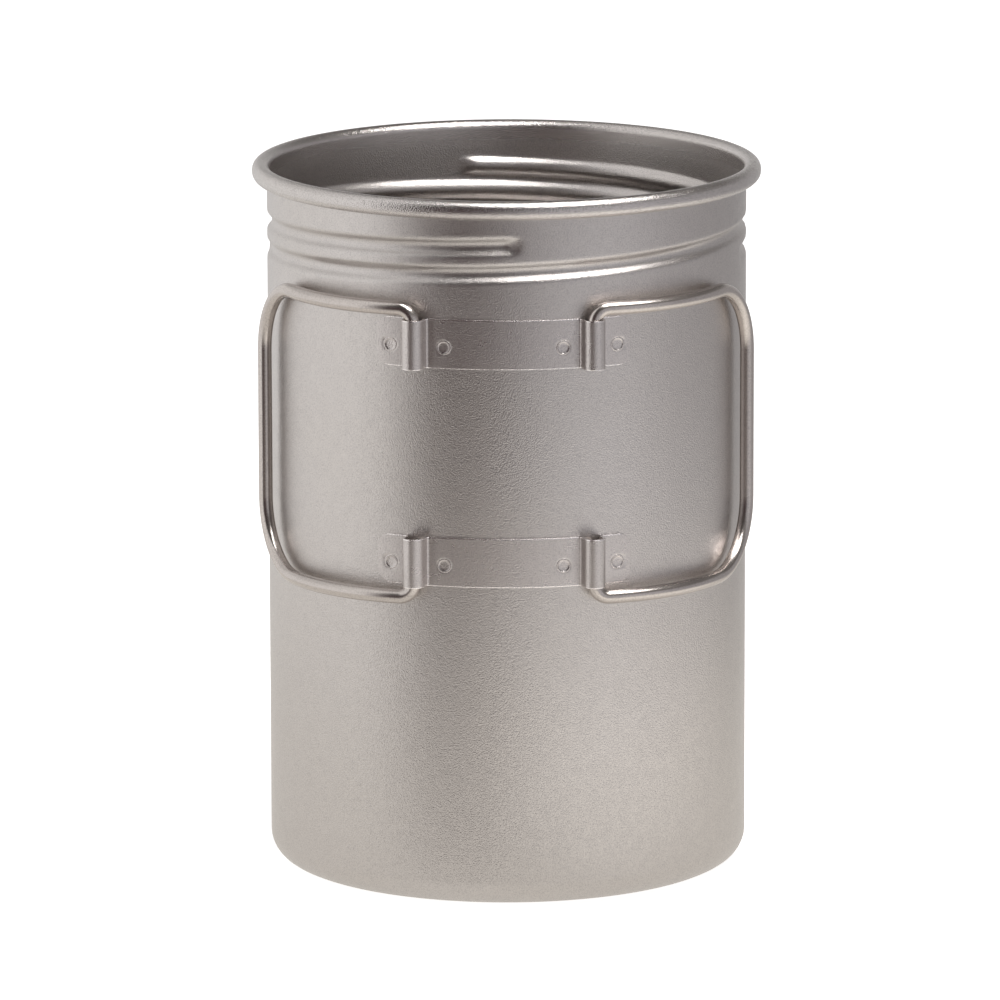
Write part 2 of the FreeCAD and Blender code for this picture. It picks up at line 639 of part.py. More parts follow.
# ---------------------------------------------------------------- the assembly

STRAPS = (
    ("upper", UPPER_STRAP_LEVEL),
    ("lower", LOWER_STRAP_LEVEL),
)

parts = [make_pot_body()]
for strap_name, strap_level in STRAPS:
    parts.append(make_strap(strap_name + "_hinge_strap", strap_level))
    parts.append(make_welds(strap_name + "_strap_welds", strap_level))
for side_name, side in SIDES:
    parts.append(make_handle(side_name + "_handle", side))
doc.recompute()

for feature in doc.Objects:
    if "Invalid" in feature.State or "Error" in feature.State:
        raise RuntimeError(f"{feature.Name} failed: {feature.State}")
    if feature.TypeId == "Sketcher::SketchObject" and feature.solve() != 0:
        raise RuntimeError(f"sketch {feature.Name} does not solve")
for part in parts:
    if part.Shape.isNull() or not part.Shape.isValid():
        raise RuntimeError(f"{part.Label} has no valid shape")

os.makedirs("parts", exist_ok=True)
for part in parts:
    part.Shape.exportStep(f"parts/{part.Label}.step")
    box = part.Shape.BoundBox
    print(f"{part.Label}: {len(part.Shape.Solids)} solids, {part.Shape.Volume:.1f} mm3, "
          f"X {box.XMin:.2f} to {box.XMax:.2f}, Y {box.YMin:.2f} to {box.YMax:.2f}, "
          f"Z {box.ZMin:.2f} to {box.ZMax:.2f}")
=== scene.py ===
# %% [markdown]
# # A titanium camping pot with folding wire handles
#
# The pot is one sheet of titanium, drawn deep, with a rolled rim and a two-start thread
# pressed into its neck. Two narrow straps are spot-welded to its front, and two folded
# wire handles hang in the straps' knuckles. This lesson models each of them over the
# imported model, gives every finish a node material, and sets up a small photo studio.

import json
import math

import bmesh
import bpy
from mathutils import Matrix, Vector


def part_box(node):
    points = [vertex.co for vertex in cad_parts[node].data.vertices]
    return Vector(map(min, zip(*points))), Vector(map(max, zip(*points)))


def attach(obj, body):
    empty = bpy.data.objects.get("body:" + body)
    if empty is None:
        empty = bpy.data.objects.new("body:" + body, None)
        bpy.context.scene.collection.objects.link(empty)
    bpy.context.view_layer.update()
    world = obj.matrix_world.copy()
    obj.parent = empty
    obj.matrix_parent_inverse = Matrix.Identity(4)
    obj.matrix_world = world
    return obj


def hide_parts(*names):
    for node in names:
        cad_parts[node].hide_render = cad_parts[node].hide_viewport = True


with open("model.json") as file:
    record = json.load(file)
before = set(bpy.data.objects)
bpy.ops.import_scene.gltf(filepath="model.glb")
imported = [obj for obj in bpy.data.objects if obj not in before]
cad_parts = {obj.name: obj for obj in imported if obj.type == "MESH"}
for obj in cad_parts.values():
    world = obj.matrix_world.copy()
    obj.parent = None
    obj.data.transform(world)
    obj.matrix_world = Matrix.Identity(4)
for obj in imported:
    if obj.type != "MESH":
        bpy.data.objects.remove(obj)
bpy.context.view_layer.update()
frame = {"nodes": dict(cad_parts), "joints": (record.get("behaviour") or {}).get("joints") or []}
MM = 0.001
NEAR = 0.01 * MM
MERGE = 0.002 * MM
print("nodes:", sorted(frame["nodes"]))

# %% [markdown]
# ## Working with operators
#
# Blender's modelling operators act on whatever is selected, just as they do under the
# mouse. A few small helpers keep that under control: everything is deselected before a
# new piece starts, points are picked by their place, and a finished piece is cleaned up
# in the same way each time.

# %% Helpers for selecting and finishing
def start_object_mode():
    """Leave edit mode and let go of everything."""
    if bpy.context.mode != "OBJECT":
        bpy.ops.object.mode_set(mode="OBJECT")
    bpy.ops.object.select_all(action="DESELECT")


def take(piece):
    """Make one object the selected and active one."""
    start_object_mode()
    piece.select_set(True)
    bpy.context.view_layer.objects.active = piece


def named(name):
    """The object just added, renamed."""
    piece = bpy.context.object
    piece.name = name
    piece.data.name = name
    return piece


def pick_points(piece, wanted):
    """In edit mode, select only the points whose place passes a test."""
    bpy.ops.mesh.select_all(action="DESELECT")
    mesh = bmesh.from_edit_mesh(piece.data)
    for point in mesh.verts:
        point.select = wanted(point.co)
    mesh.select_flush(True)
    bmesh.update_edit_mesh(piece.data)


def push(offset):
    """Extrude what is selected and move the new points by an offset."""
    bpy.ops.mesh.extrude_region_move(TRANSFORM_OT_translate={"value": offset})


def widen(factors, centre):
    """Scale what is selected about a centre, by one factor for each axis."""
    bpy.ops.transform.resize(value=factors, center_override=centre)


def spin_round(centre, axis, angle, steps):
    """Spin what is selected, by the right-hand rule, which is spin's angle turned back."""
    bpy.ops.mesh.spin(steps=steps, angle=-angle, center=centre, axis=axis)


def finish_shape(piece, smooth_angle):
    """Put the piece's place into its mesh and shade it smooth up to an angle."""
    take(piece)
    bpy.ops.object.transform_apply(location=True, rotation=True, scale=True)
    bpy.ops.object.shade_smooth_by_angle(angle=math.radians(smooth_angle))
    start_object_mode()
    print(piece.name, len(piece.data.vertices), "points", len(piece.data.polygons), "faces")


def apply_modifiers(piece):
    """Turn every modifier on the piece into mesh, in their order."""
    take(piece)
    for modifier in list(piece.modifiers):
        bpy.ops.object.modifier_apply(modifier=modifier.name)


# %% [markdown]
# ## The pot's sizes
#
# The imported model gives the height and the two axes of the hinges. The rest are the
# sizes of the drawn sheet: its wall, the base corner, the rolled rim and the thread.

# %% Sizes of the pot
POT_RADIUS = 48.0 * MM
POT_WALL = 0.5 * MM
POT_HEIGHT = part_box("pot_body")[1][2]
BASE_CORNER = 5.25 * MM
RIM_OVERHANG = 2.96 * MM
RIM_HEIGHT = 3.8 * MM
RIM_SLIT = 0.2 * MM
THREAD_LEAD = 10.2 * MM
THREAD_DEPTH = 1.0 * MM
THREAD_TOOL = 2.2 * MM
THREAD_HALF = 1.83 * MM
THREAD_SOFT = 0.22 * MM
THREAD_CUT_OFF = 0.05 * THREAD_SOFT
THREAD_MARGIN = 1.45 * THREAD_TOOL
THREAD_RUN_OUT = 4.2 * MM
THREAD_PAST_END = 2.2 * MM
THREAD_TOP = POT_HEIGHT - 9.2 * MM
THREAD_SWEEP = math.radians(284.0)
THREAD_ENDS = (math.radians(2.35), math.radians(190.35))
AXIS = (0.0, 0.0, 1.0)
ORIGIN = (0.0, 0.0, 0.0)
print("pot height", round(POT_HEIGHT / MM, 2), "mm")

# %% [markdown]
# ## The pot body
#
# A real pot like this is pressed from a flat disc, so its wall is one skin that runs
# from the base, round the corner, up the side and over into the rolled rim. It could be
# turned from a profile with Spin or Screw, or cut from a cylinder. Here it grows ring by
# ring: a circle is extruded and scaled again and again along the list of heights and
# radii of the sheet's inner face. That keeps even rows of faces in the neck, where the
# thread is pressed in later.

# %% The rings of the sheet's inner face
ROLL = (RIM_OVERHANG + POT_WALL) / 2
ROLL_CENTRE = POT_RADIUS - POT_WALL + ROLL
ROLL_TOP = POT_HEIGHT - ROLL
ROLL_LOW = POT_HEIGHT - RIM_HEIGHT + ROLL
INNER_RADIUS = POT_RADIUS - POT_WALL
INNER_CORNER = BASE_CORNER - POT_WALL
NECK_LOW = THREAD_TOP - THREAD_LEAD * THREAD_SWEEP / (2 * math.pi) - THREAD_MARGIN
NECK_HIGH = THREAD_TOP + THREAD_MARGIN
WALL_SHARES = (0.06, 0.5, 0.94)
NECK_ROWS = 48
CORNER_STEPS = 9
ROLL_STEPS = 12
ROUND = 480

corner_centre = POT_RADIUS - BASE_CORNER
rings = []
for step in range(CORNER_STEPS + 1):
    turn = math.pi / 2 * step / CORNER_STEPS
    rings.append((corner_centre + INNER_CORNER * math.sin(turn),
                  BASE_CORNER - INNER_CORNER * math.cos(turn)))
for share in WALL_SHARES:
    rings.append((INNER_RADIUS, BASE_CORNER + (NECK_LOW - BASE_CORNER) * share))
for step in range(NECK_ROWS + 1):
    rings.append((INNER_RADIUS, NECK_LOW + (NECK_HIGH - NECK_LOW) * step / NECK_ROWS))
for step in range(ROLL_STEPS + 1):
    turn = math.pi - math.pi * step / ROLL_STEPS
    rings.append((ROLL_CENTRE + ROLL * math.cos(turn), ROLL_TOP + ROLL * math.sin(turn)))
tuck = math.acos((POT_RADIUS + RIM_SLIT - ROLL_CENTRE) / ROLL)
for step in range(ROLL_STEPS + 1):
    turn = -tuck * step / ROLL_STEPS
    rings.append((ROLL_CENTRE + ROLL * math.cos(turn), ROLL_LOW + ROLL * math.sin(turn)))
print(len(rings), "rings of", ROUND, "points")

# %% Grow the sheet ring by ring
start_object_mode()
bpy.ops.mesh.primitive_circle_add(vertices=ROUND, radius=rings[0][0], fill_type="NOTHING",
                                  location=(0, 0, rings[0][1]))
pot = named("pot_sheet_body")
bpy.ops.object.transform_apply(location=True)
bpy.ops.object.mode_set(mode="EDIT")
bpy.ops.mesh.select_mode(type="VERT")
bpy.ops.mesh.select_all(action="SELECT")
radius, level = rings[0]
for next_radius, next_level in rings[1:]:
    push((0, 0, next_level - level))
    if abs(next_radius - radius) > NEAR:
        widen((next_radius / radius, next_radius / radius, 1), ORIGIN)
    radius, level = next_radius, next_level
print("rim ends at radius", round(radius / MM, 2), "height", round(level / MM, 2))

# %% Close the base
FLOOR_RINGS = (0.66, 0.33)
floor_level = rings[0][1]
pick_points(pot, lambda place: place.z < floor_level + NEAR)
for share in FLOOR_RINGS:
    push((0, 0, 0))
    widen((share, share, 1), ORIGIN)
bpy.ops.mesh.edge_face_add()
bpy.ops.mesh.select_all(action="SELECT")
bpy.ops.mesh.normals_make_consistent(inside=False)
mesh = bmesh.from_edit_mesh(pot.data)
wall_face = min(mesh.faces,
                key=lambda face: abs(face.calc_center_median().z - POT_HEIGHT / 2))
middle = wall_face.calc_center_median()
if wall_face.normal.x * middle.x + wall_face.normal.y * middle.y > 0:
    bpy.ops.mesh.flip_normals()
start_object_mode()
print("the skin now faces the inside of the pot")

# %% [markdown]
# ## Pressing the thread
#
# The thread is two grooves that run round the neck like a screw with two starts. They
# are pressed, not cut, so the sheet bulges inwards by as much as it dips outside. A
# vertex group holds how deep each point is pressed, from its distance to the middle of
# the nearest groove, and a Displace modifier moves the skin by it. Solidify then gives
# the sheet its thickness, so that groove and ridge always match.

# %% How deep each point of the neck is pressed
def tool_depth(away):
    """How deep a round-nosed roller presses the sheet, this far from its middle."""
    inside = min(away, THREAD_HALF)
    rise = math.sqrt(THREAD_TOOL ** 2 - inside ** 2)
    depth = rise - (THREAD_TOOL - THREAD_DEPTH) - (away - inside) * THREAD_HALF / rise
    soft = (depth + math.hypot(depth, THREAD_SOFT)) / 2
    return min(1.0, max(0.0, (soft - THREAD_CUT_OFF) / THREAD_DEPTH))


def pressed(place):
    """From 0 on the plain wall to 1 along the middle of a groove, which runs out gently."""
    round_place = math.atan2(place.x, -place.y)
    depth = 0.0
    for end in THREAD_ENDS:
        followed = (end - round_place) % (2 * math.pi)
        if followed > math.pi + THREAD_SWEEP / 2:
            followed -= 2 * math.pi
        inside = min(followed, THREAD_SWEEP - followed) * INNER_RADIUS
        share = min(1.0, max(0.0, (inside + THREAD_PAST_END) / THREAD_RUN_OUT))
        middle = THREAD_TOP - THREAD_LEAD * followed / (2 * math.pi)
        run_out = share * share * (3 - 2 * share)
        depth = max(depth, run_out * tool_depth(abs(place.z - middle)))
    return depth


depth_group = pot.vertex_groups.new(name="thread")
for point in pot.data.vertices:
    if NECK_LOW < point.co.z < NECK_HIGH and point.co.xy.length < POT_RADIUS:
        depth = pressed(point.co)
        if depth > 0:
            depth_group.add([point.index], depth, "REPLACE")
print("thread from", round(NECK_LOW / MM, 1), "to", round(NECK_HIGH / MM, 1), "mm")

# %% Press it and give the sheet its thickness
POT_SMOOTH = 50
press = pot.modifiers.new("press_thread", "DISPLACE")
press.vertex_group = "thread"
press.direction = "NORMAL"
press.mid_level = 0.0
press.strength = THREAD_DEPTH
sheet = pot.modifiers.new("sheet", "SOLIDIFY")
sheet.thickness = POT_WALL
sheet.offset = -1.0
sheet.use_even_offset = True
apply_modifiers(pot)
finish_shape(pot, POT_SMOOTH)
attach(pot, "pot")
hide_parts("pot_body")

# %% [markdown]
# ## The hinge straps
#
# Each strap is a narrow strip, 0.5 mm thick, that follows the pot's wall and is folded
# out round each hinge pin, which makes the knuckles. It could be cut from a solid, but a
# folded strip is best made as it is in the workshop. One upright edge is spun and pushed
# along the strip's plan: round the pot, round the tight fold, up the flank, over the
# nose and back. The half strip is mirrored, and Solidify turns the face into sheet.

# %% Sizes of the straps
hinge = next(joint for joint in frame["joints"] if joint["child"] == "handle_right")
HINGE_PLACE = Vector(hinge["pos_m"])
HINGE_X, HINGE_Y = HINGE_PLACE.x, HINGE_PLACE.y
HINGE_RADIUS = math.hypot(HINGE_X, HINGE_Y)
HINGE_TURN = math.atan2(HINGE_X, -HINGE_Y)
WIRE_RADIUS = 1.4 * MM
STRAP_SHEET = 0.5 * MM
STRAP_LIFT = 0.04 * MM
KNUCKLE_PLAY = 0.25 * MM
STRAP_OUTSIDE = POT_RADIUS + STRAP_LIFT + STRAP_SHEET
KNUCKLE_OUTSIDE = WIRE_RADIUS + KNUCKLE_PLAY + STRAP_SHEET
FOLD = 0.55 * MM
STRAP_TAIL = 8.5 * MM / POT_RADIUS
STRAP_CORNER = 2.5 * MM
print("hinge at", round(HINGE_X / MM, 2), round(HINGE_Y / MM, 2),
      "radius", round(HINGE_RADIUS / MM, 2))


# %% One strap, bent from an upright edge
ROW_CUTS = 37
FRONT_STEPS = 48
FOLD_STEPS = 7
NOSE_STEPS = 24
TAIL_STEPS = 14
END_COLUMNS = 4


def on_ray(turn, out, across=0.0):
    """A place in plan, from a direction round the pot, a radius and a step to the side."""
    return Vector((math.sin(turn) * out + math.cos(turn) * across,
                   -math.cos(turn) * out + math.sin(turn) * across, 0.0))


def bend(centre, angle, steps):
    """Spin the selected edge round an upright axis; a positive angle turns leftwards."""
    spin_round(centre, AXIS, angle, steps)


def make_strap(name, low, high):
    """A folded strap between two heights."""
    start_object_mode()
    bpy.ops.mesh.primitive_plane_add(size=STRAP_SHEET, location=(0, -STRAP_OUTSIDE, low))
    strap = named(name)
    bpy.ops.object.transform_apply(location=True)
    bpy.ops.object.mode_set(mode="EDIT")
    bpy.ops.mesh.select_mode(type="VERT")
    bpy.ops.mesh.select_all(action="SELECT")
    bpy.ops.mesh.merge(type="CENTER")
    push((0, 0, high - low))
    bpy.ops.mesh.select_all(action="SELECT")
    bpy.ops.mesh.subdivide(number_cuts=ROW_CUTS)
    fold_out = math.sqrt((STRAP_OUTSIDE + FOLD) ** 2 - (KNUCKLE_OUTSIDE + FOLD) ** 2)
    fold_turn = math.atan2(KNUCKLE_OUTSIDE + FOLD, fold_out)
    flank = HINGE_RADIUS - fold_out
    out = on_ray(HINGE_TURN, 1.0)
    side = KNUCKLE_OUTSIDE + FOLD
    bend(ORIGIN, HINGE_TURN - fold_turn, FRONT_STEPS)
    bend(on_ray(HINGE_TURN, fold_out, -side), fold_turn - math.pi / 2, FOLD_STEPS)
    push(tuple(out * flank))
    bend(on_ray(HINGE_TURN, HINGE_RADIUS), math.pi, NOSE_STEPS)
    push(tuple(out * -flank))
    bend(on_ray(HINGE_TURN, fold_out, side), fold_turn - math.pi / 2, FOLD_STEPS)
    corner_turn = STRAP_CORNER / STRAP_OUTSIDE
    bend(ORIGIN, STRAP_TAIL - fold_turn - corner_turn, TAIL_STEPS)
    # The end of the strip is rounded: each new column is shorter than the one before.
    half = (high - low) / 2
    middle = (low + high) / 2
    height = half
    for column in range(1, END_COLUMNS + 1):
        turn = math.pi / 2 * column / END_COLUMNS
        before = math.pi / 2 * (column - 1) / END_COLUMNS
        bend(ORIGIN, corner_turn * (math.sin(turn) - math.sin(before)), 1)
        next_height = half - STRAP_CORNER * (1 - math.cos(turn))
        widen((1, 1, next_height / height), (0, 0, middle))
        height = next_height
    bpy.ops.mesh.select_all(action="SELECT")
    bpy.ops.mesh.duplicate()
    bpy.ops.transform.mirror(constraint_axis=(True, False, False), center_override=ORIGIN)
    bpy.ops.mesh.select_all(action="SELECT")
    bpy.ops.mesh.remove_doubles(threshold=MERGE)
    bpy.ops.mesh.normals_make_consistent(inside=False)
    mesh = bmesh.from_edit_mesh(strap.data)
    front = min(mesh.faces, key=lambda face: abs(face.calc_center_median().x))
    if front.normal.y > 0:
        bpy.ops.mesh.flip_normals()
    start_object_mode()
    return strap


print("a strap's knuckles are", round(2 * KNUCKLE_OUTSIDE / MM, 2), "mm across")

# %% [markdown]
# ## Dents under the welds
#
# The electrodes of a spot welder press the strap down to the wall, and leave a small
# round dent. A second vertex group presses those in, and a narrow Bevel breaks the cut
# edges of the sheet, so that they catch the light as a thin line.

# %% Weld places, dents and sheet thickness
WELD_REACH = 5.6 * MM / POT_RADIUS
WELD_DROP = 0.7 * MM
DENT_RADIUS = 1.42 * MM
DENT_SLOPE = 0.4 * MM
DENT_DEPTH = 0.34 * MM
FLAT_REACH = 0.1 * MM
BROKEN_EDGE = 0.16 * MM
SHARP = 60


def weld_turns():
    """The directions of a strap's four welds: two on each side, about the hinge."""
    return [side * (HINGE_TURN + way * WELD_REACH) for side in (-1, 1) for way in (-1, 1)]


def dent_and_thicken(strap, weld_level):
    """Press the weld dents, thicken the strip to sheet and break its edges."""
    group = strap.vertex_groups.new(name="dents")
    for point in strap.data.vertices:
        turn = math.atan2(point.co.x, -point.co.y)
        for weld_turn in weld_turns():
            away = math.hypot((turn - weld_turn) * STRAP_OUTSIDE, point.co.z - weld_level)
            depth = min(1.0, max(0.0, (DENT_RADIUS - away) / DENT_SLOPE))
            if depth > 0 and point.co.xy.length < STRAP_OUTSIDE + FLAT_REACH:
                group.add([point.index], depth, "REPLACE")
    dent = strap.modifiers.new("dents", "DISPLACE")
    dent.vertex_group = "dents"
    dent.direction = "NORMAL"
    dent.mid_level = 0.0
    dent.strength = -DENT_DEPTH
    sheet = strap.modifiers.new("sheet", "SOLIDIFY")
    sheet.thickness = STRAP_SHEET
    sheet.offset = -1.0
    sheet.use_even_offset = True
    edge = strap.modifiers.new("broken_edges", "BEVEL")
    edge.limit_method = "ANGLE"
    edge.angle_limit = math.radians(SHARP)
    edge.width = BROKEN_EDGE
    edge.segments = 3
    apply_modifiers(strap)
    finish_shape(strap, SHARP)
    # Flat faces keep their own normals, so that the broken edges stay thin, clear lines.
    flats = strap.modifiers.new("flats", "WEIGHTED_NORMAL")
    flats.weight = 100
    flats.keep_sharp = True
    apply_modifiers(strap)


weld_levels = {}
for place in ("upper", "lower"):
    node = place + "_hinge_strap"
    low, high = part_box(node)
    strap = make_strap(place + "_strap", low[2], high[2])
    weld_levels[place] = (low[2] + high[2]) / 2 - WELD_DROP
    dent_and_thicken(strap, weld_levels[place])
    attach(strap, "pot")
    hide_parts(node)

# %% [markdown]
# ## The spot welds
#
# A spot weld shows as a round, dished button, flush with the strap at its edge. A flat
# disc with a normal map would look right from the front only. One real button is modelled
# from a circle by extruding and scaling rings, then copied to its four places on each
# strap, each copy turned to face straight out from the pot. Each ring is a radius and a
# height above the strap, in millimetres.

# %% Model one weld button
BUTTON_RINGS = ((1.5, -0.34), (1.5, -0.05), (1.44, 0.004), (1.22, 0.004), (1.18, -0.008),
                (1.12, -0.05), (1.04, -0.10), (0.96, -0.12), (0.6, -0.125), (0.2, -0.125))
CIRCLE_POINTS = 40
start_object_mode()
bpy.ops.mesh.primitive_circle_add(vertices=CIRCLE_POINTS, radius=BUTTON_RINGS[0][0] * MM,
                                  location=(0, 0, BUTTON_RINGS[0][1] * MM))
button = named("weld_button")
bpy.ops.object.transform_apply(location=True)
bpy.ops.object.mode_set(mode="EDIT")
bpy.ops.mesh.select_all(action="SELECT")
for (radius, level), (next_radius, next_level) in zip(BUTTON_RINGS, BUTTON_RINGS[1:]):
    push((0, 0, (next_level - level) * MM))
    widen((next_radius / radius, next_radius / radius, 1), ORIGIN)
bpy.ops.mesh.edge_face_add()
pick_points(button, lambda place: place.z < BUTTON_RINGS[0][1] * MM + NEAR)
bpy.ops.mesh.edge_face_add()
bpy.ops.mesh.select_all(action="SELECT")
bpy.ops.mesh.normals_make_consistent(inside=False)
finish_shape(button, SHARP)

# %% Place four on each strap
for place, level in weld_levels.items():
    copies = []
    for number, turn in enumerate(weld_turns(), start=1):
        copy = button.copy()
        copy.data = button.data.copy()
        copy.name = f"{place}_weld_{number}"
        bpy.context.collection.objects.link(copy)
        facing = Matrix.Rotation(turn, 4, "Z") @ Matrix.Rotation(math.pi / 2, 4, "X")
        spot = on_ray(turn, STRAP_OUTSIDE) + Vector((0, 0, level))
        copy.matrix_world = Matrix.Translation(spot) @ facing
        copies.append(copy)
    start_object_mode()
    for copy in copies:
        copy.select_set(True)
    bpy.context.view_layer.objects.active = copies[0]
    bpy.ops.object.join()
    welds = named(place + "_welds")
    finish_shape(welds, SHARP)
    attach(welds, "pot")
    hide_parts(place + "_strap_welds")
bpy.data.objects.remove(button)

# %% [markdown]
# ## The wire handles
#
# Each handle is one length of 2.8 mm wire. Both ends are pins in the knuckles, then the
# wire bends out, follows the pot's side in a wide curve, turns a round corner and runs
# straight up the grip. A curve with a round bevel would be quick, but bending a round
# section step by step gives tidy faces and exact arcs. Half a handle is bent with Spin
# and mirrored about its middle height, and the other handle is its mirror image.

# %% Sizes of the handles, and the way an arm leaves its pin
PIN_BEND = 2.9 * MM
ARM_CURVE = 34.0 * MM
ARM_TURN = 29.3 * MM / ARM_CURVE
HANDLE_CORNER = 14.0 * MM
GRIP_GAP = 1.0 * MM
PIN_RECESS = 0.8 * MM
PIN_CHAMFER = 0.35 * MM
PIN_STEPS = 12
ARM_STEPS = 24
GRIP_STEPS = 20
WIRE_SMOOTH = 40
grip_radius = POT_RADIUS + GRIP_GAP + WIRE_RADIUS
along = PIN_BEND + ARM_CURVE * math.sin(ARM_TURN) + HANDLE_CORNER * math.cos(ARM_TURN)
inward = ARM_CURVE * (1 - math.cos(ARM_TURN)) + HANDLE_CORNER * math.sin(ARM_TURN)
span = math.hypot(along, inward)
square = HINGE_RADIUS ** 2 + span ** 2 - grip_radius ** 2
to_axis = math.acos(square / (2 * HINGE_RADIUS * span))
first_way = HINGE_TURN + math.pi / 2 - to_axis - math.atan2(inward, along)
last_way = first_way + ARM_TURN
handle_low, handle_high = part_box("right_handle")
ARM_LEVEL = handle_high[2] - WIRE_RADIUS
GRIP_MIDDLE = (handle_low[2] + handle_high[2]) / 2
pin_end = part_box("upper_hinge_strap")[0][2] + PIN_RECESS
print("arm leaves at", round(math.degrees(first_way), 2), "degrees")

# %% Bend half a handle
def heading(way):
    """A level direction of length one, turned by an angle from the X axis."""
    return Vector((math.cos(way), math.sin(way), 0.0))


start_object_mode()
bpy.ops.mesh.primitive_circle_add(vertices=CIRCLE_POINTS, radius=WIRE_RADIUS - PIN_CHAMFER,
                                  location=(HINGE_X, HINGE_Y, pin_end))
handle = named("right_wire_handle")
bpy.ops.object.transform_apply(location=True)
bpy.ops.object.mode_set(mode="EDIT")
bpy.ops.mesh.select_all(action="SELECT")
push((0, 0, PIN_CHAMFER))
grow = WIRE_RADIUS / (WIRE_RADIUS - PIN_CHAMFER)
widen((grow, grow, 1), (HINGE_X, HINGE_Y, pin_end + PIN_CHAMFER))
push((0, 0, ARM_LEVEL - PIN_BEND - pin_end - PIN_CHAMFER))
up = Vector(AXIS)
pin_top = Vector((HINGE_X, HINGE_Y, ARM_LEVEL - PIN_BEND))
out = heading(first_way)
spin_round(pin_top + out * PIN_BEND, up.cross(out), math.pi / 2, PIN_STEPS)
arm_start = pin_top + (out + up) * PIN_BEND
curve_centre = arm_start + up.cross(out) * ARM_CURVE
spin_round(curve_centre, AXIS, ARM_TURN, ARM_STEPS)
last_out = heading(last_way)
arm_end = curve_centre - up.cross(last_out) * ARM_CURVE
spin_round(arm_end - up * HANDLE_CORNER, up.cross(last_out), math.pi / 2, GRIP_STEPS)
push((0, 0, GRIP_MIDDLE - (ARM_LEVEL - HANDLE_CORNER)))
grip_place = arm_end + last_out * HANDLE_CORNER
print("grip at radius", round(grip_place.xy.length / MM, 2))

# %% Mirror it into a whole handle and close the pins' ends
bpy.ops.mesh.select_all(action="SELECT")
bpy.ops.mesh.duplicate()
bpy.ops.transform.mirror(constraint_axis=(False, False, True),
                         center_override=(0, 0, GRIP_MIDDLE))
bpy.ops.mesh.select_all(action="SELECT")
bpy.ops.mesh.remove_doubles(threshold=MERGE)
for end in (pin_end, 2 * GRIP_MIDDLE - pin_end):
    pick_points(handle, lambda place: abs(place.z - end) < NEAR
                and (place.xy - HINGE_PLACE.xy).length < WIRE_RADIUS)
    bpy.ops.mesh.edge_face_add()
bpy.ops.mesh.select_all(action="SELECT")
bpy.ops.mesh.normals_make_consistent(inside=False)
finish_shape(handle, WIRE_SMOOTH)
left_handle = handle.copy()
left_handle.data = handle.data.copy()
left_handle.name = "left_wire_handle"
bpy.context.collection.objects.link(left_handle)
take(left_handle)
bpy.ops.object.mode_set(mode="EDIT")
bpy.ops.mesh.select_all(action="SELECT")
bpy.ops.transform.mirror(constraint_axis=(True, False, False), center_override=ORIGIN)
bpy.ops.mesh.normals_make_consistent(inside=False)
finish_shape(left_handle, WIRE_SMOOTH)
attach(handle, "handle_right")
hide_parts("right_handle")
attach(left_handle, "handle_left")
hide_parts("left_handle")


# %% [markdown]
# ## Writing materials as sums
#
# Node trees are easier to read when their maths looks like maths. The class below wraps
# a shader socket, and an expression on it adds the Math nodes. Colours have a blend
# method of their own, because a Math node would turn them grey.

# %% A socket that can be added and multiplied
class Flow:
    """A number that varies over a surface: one socket of a node tree."""

    def __init__(self, tree, socket):
        self.tree = tree
        self.socket = socket

    def _sum(self, operation, first, second):
        node = self.tree.nodes.new("ShaderNodeMath")
        node.operation = operation
        for slot, part in zip(node.inputs, (first, second)):
            if isinstance(part, Flow):
                self.tree.links.new(part.socket, slot)
            else:
                slot.default_value = part
        return Flow(self.tree, node.outputs[0])

    def __add__(self, other):
        return self._sum("ADD", self, other)

    def __radd__(self, other):
        return self._sum("ADD", other, self)

    def __sub__(self, other):
        return self._sum("SUBTRACT", self, other)

    def __mul__(self, other):
        return self._sum("MULTIPLY", self, other)


class Finish:
    """A node tree being built, for a material or for the studio's surroundings."""

    def __init__(self, tree):
        self.tree = tree
        self.tree.nodes.clear()

    def node(self, kind, settings=None, **sockets):
        """Add a node: its settings first, then the values or links of its sockets."""
        made = self.tree.nodes.new(kind)
        for name, setting in (settings or {}).items():
            if name == "stops":
                ramp = made.color_ramp
                ramp.interpolation = "EASE"
                for place, _ in setting[2:]:
                    ramp.elements.new(place)
                for element, (place, tone) in zip(ramp.elements, sorted(setting)):
                    element.position = place
                    element.color = (*tone, 1.0)
            else:
                setattr(made, name, setting)
        for name, part in sockets.items():
            slot = made.inputs[name.replace("_", " ")]
            if isinstance(part, Flow):
                self.tree.links.new(part.socket, slot)
            else:
                slot.default_value = part
        return made

    def flow(self, node, output=0):
        """One output of a node, ready for sums."""
        return Flow(self.tree, node.outputs[output])

    def rise(self, value, low, high):
        """From 0 to 1 in a smooth step as a value goes from low to high."""
        ramp = self.node("ShaderNodeMapRange", {"interpolation_type": "SMOOTHSTEP"},
                         Value=value)
        ramp.inputs["From Min"].default_value = low
        ramp.inputs["From Max"].default_value = high
        return self.flow(ramp)

    def blend(self, factor, first, second):
        """A colour between two, by a factor that varies over the surface."""
        mix = self.node("ShaderNodeMix", {"data_type": "RGBA"})
        self.tree.links.new(factor.socket, mix.inputs[0])
        for slot, part in ((mix.inputs[6], first), (mix.inputs[7], second)):
            if isinstance(part, Flow):
                self.tree.links.new(part.socket, slot)
            else:
                slot.default_value = (*part, 1.0)
        return self.flow(mix, 2)

    def show(self, shader, output="ShaderNodeOutputMaterial"):
        """Join the last shader to the tree's output."""
        self.tree.links.new(shader.outputs[0], self.node(output).inputs[0])


print("sockets can now be added, taken away and multiplied")

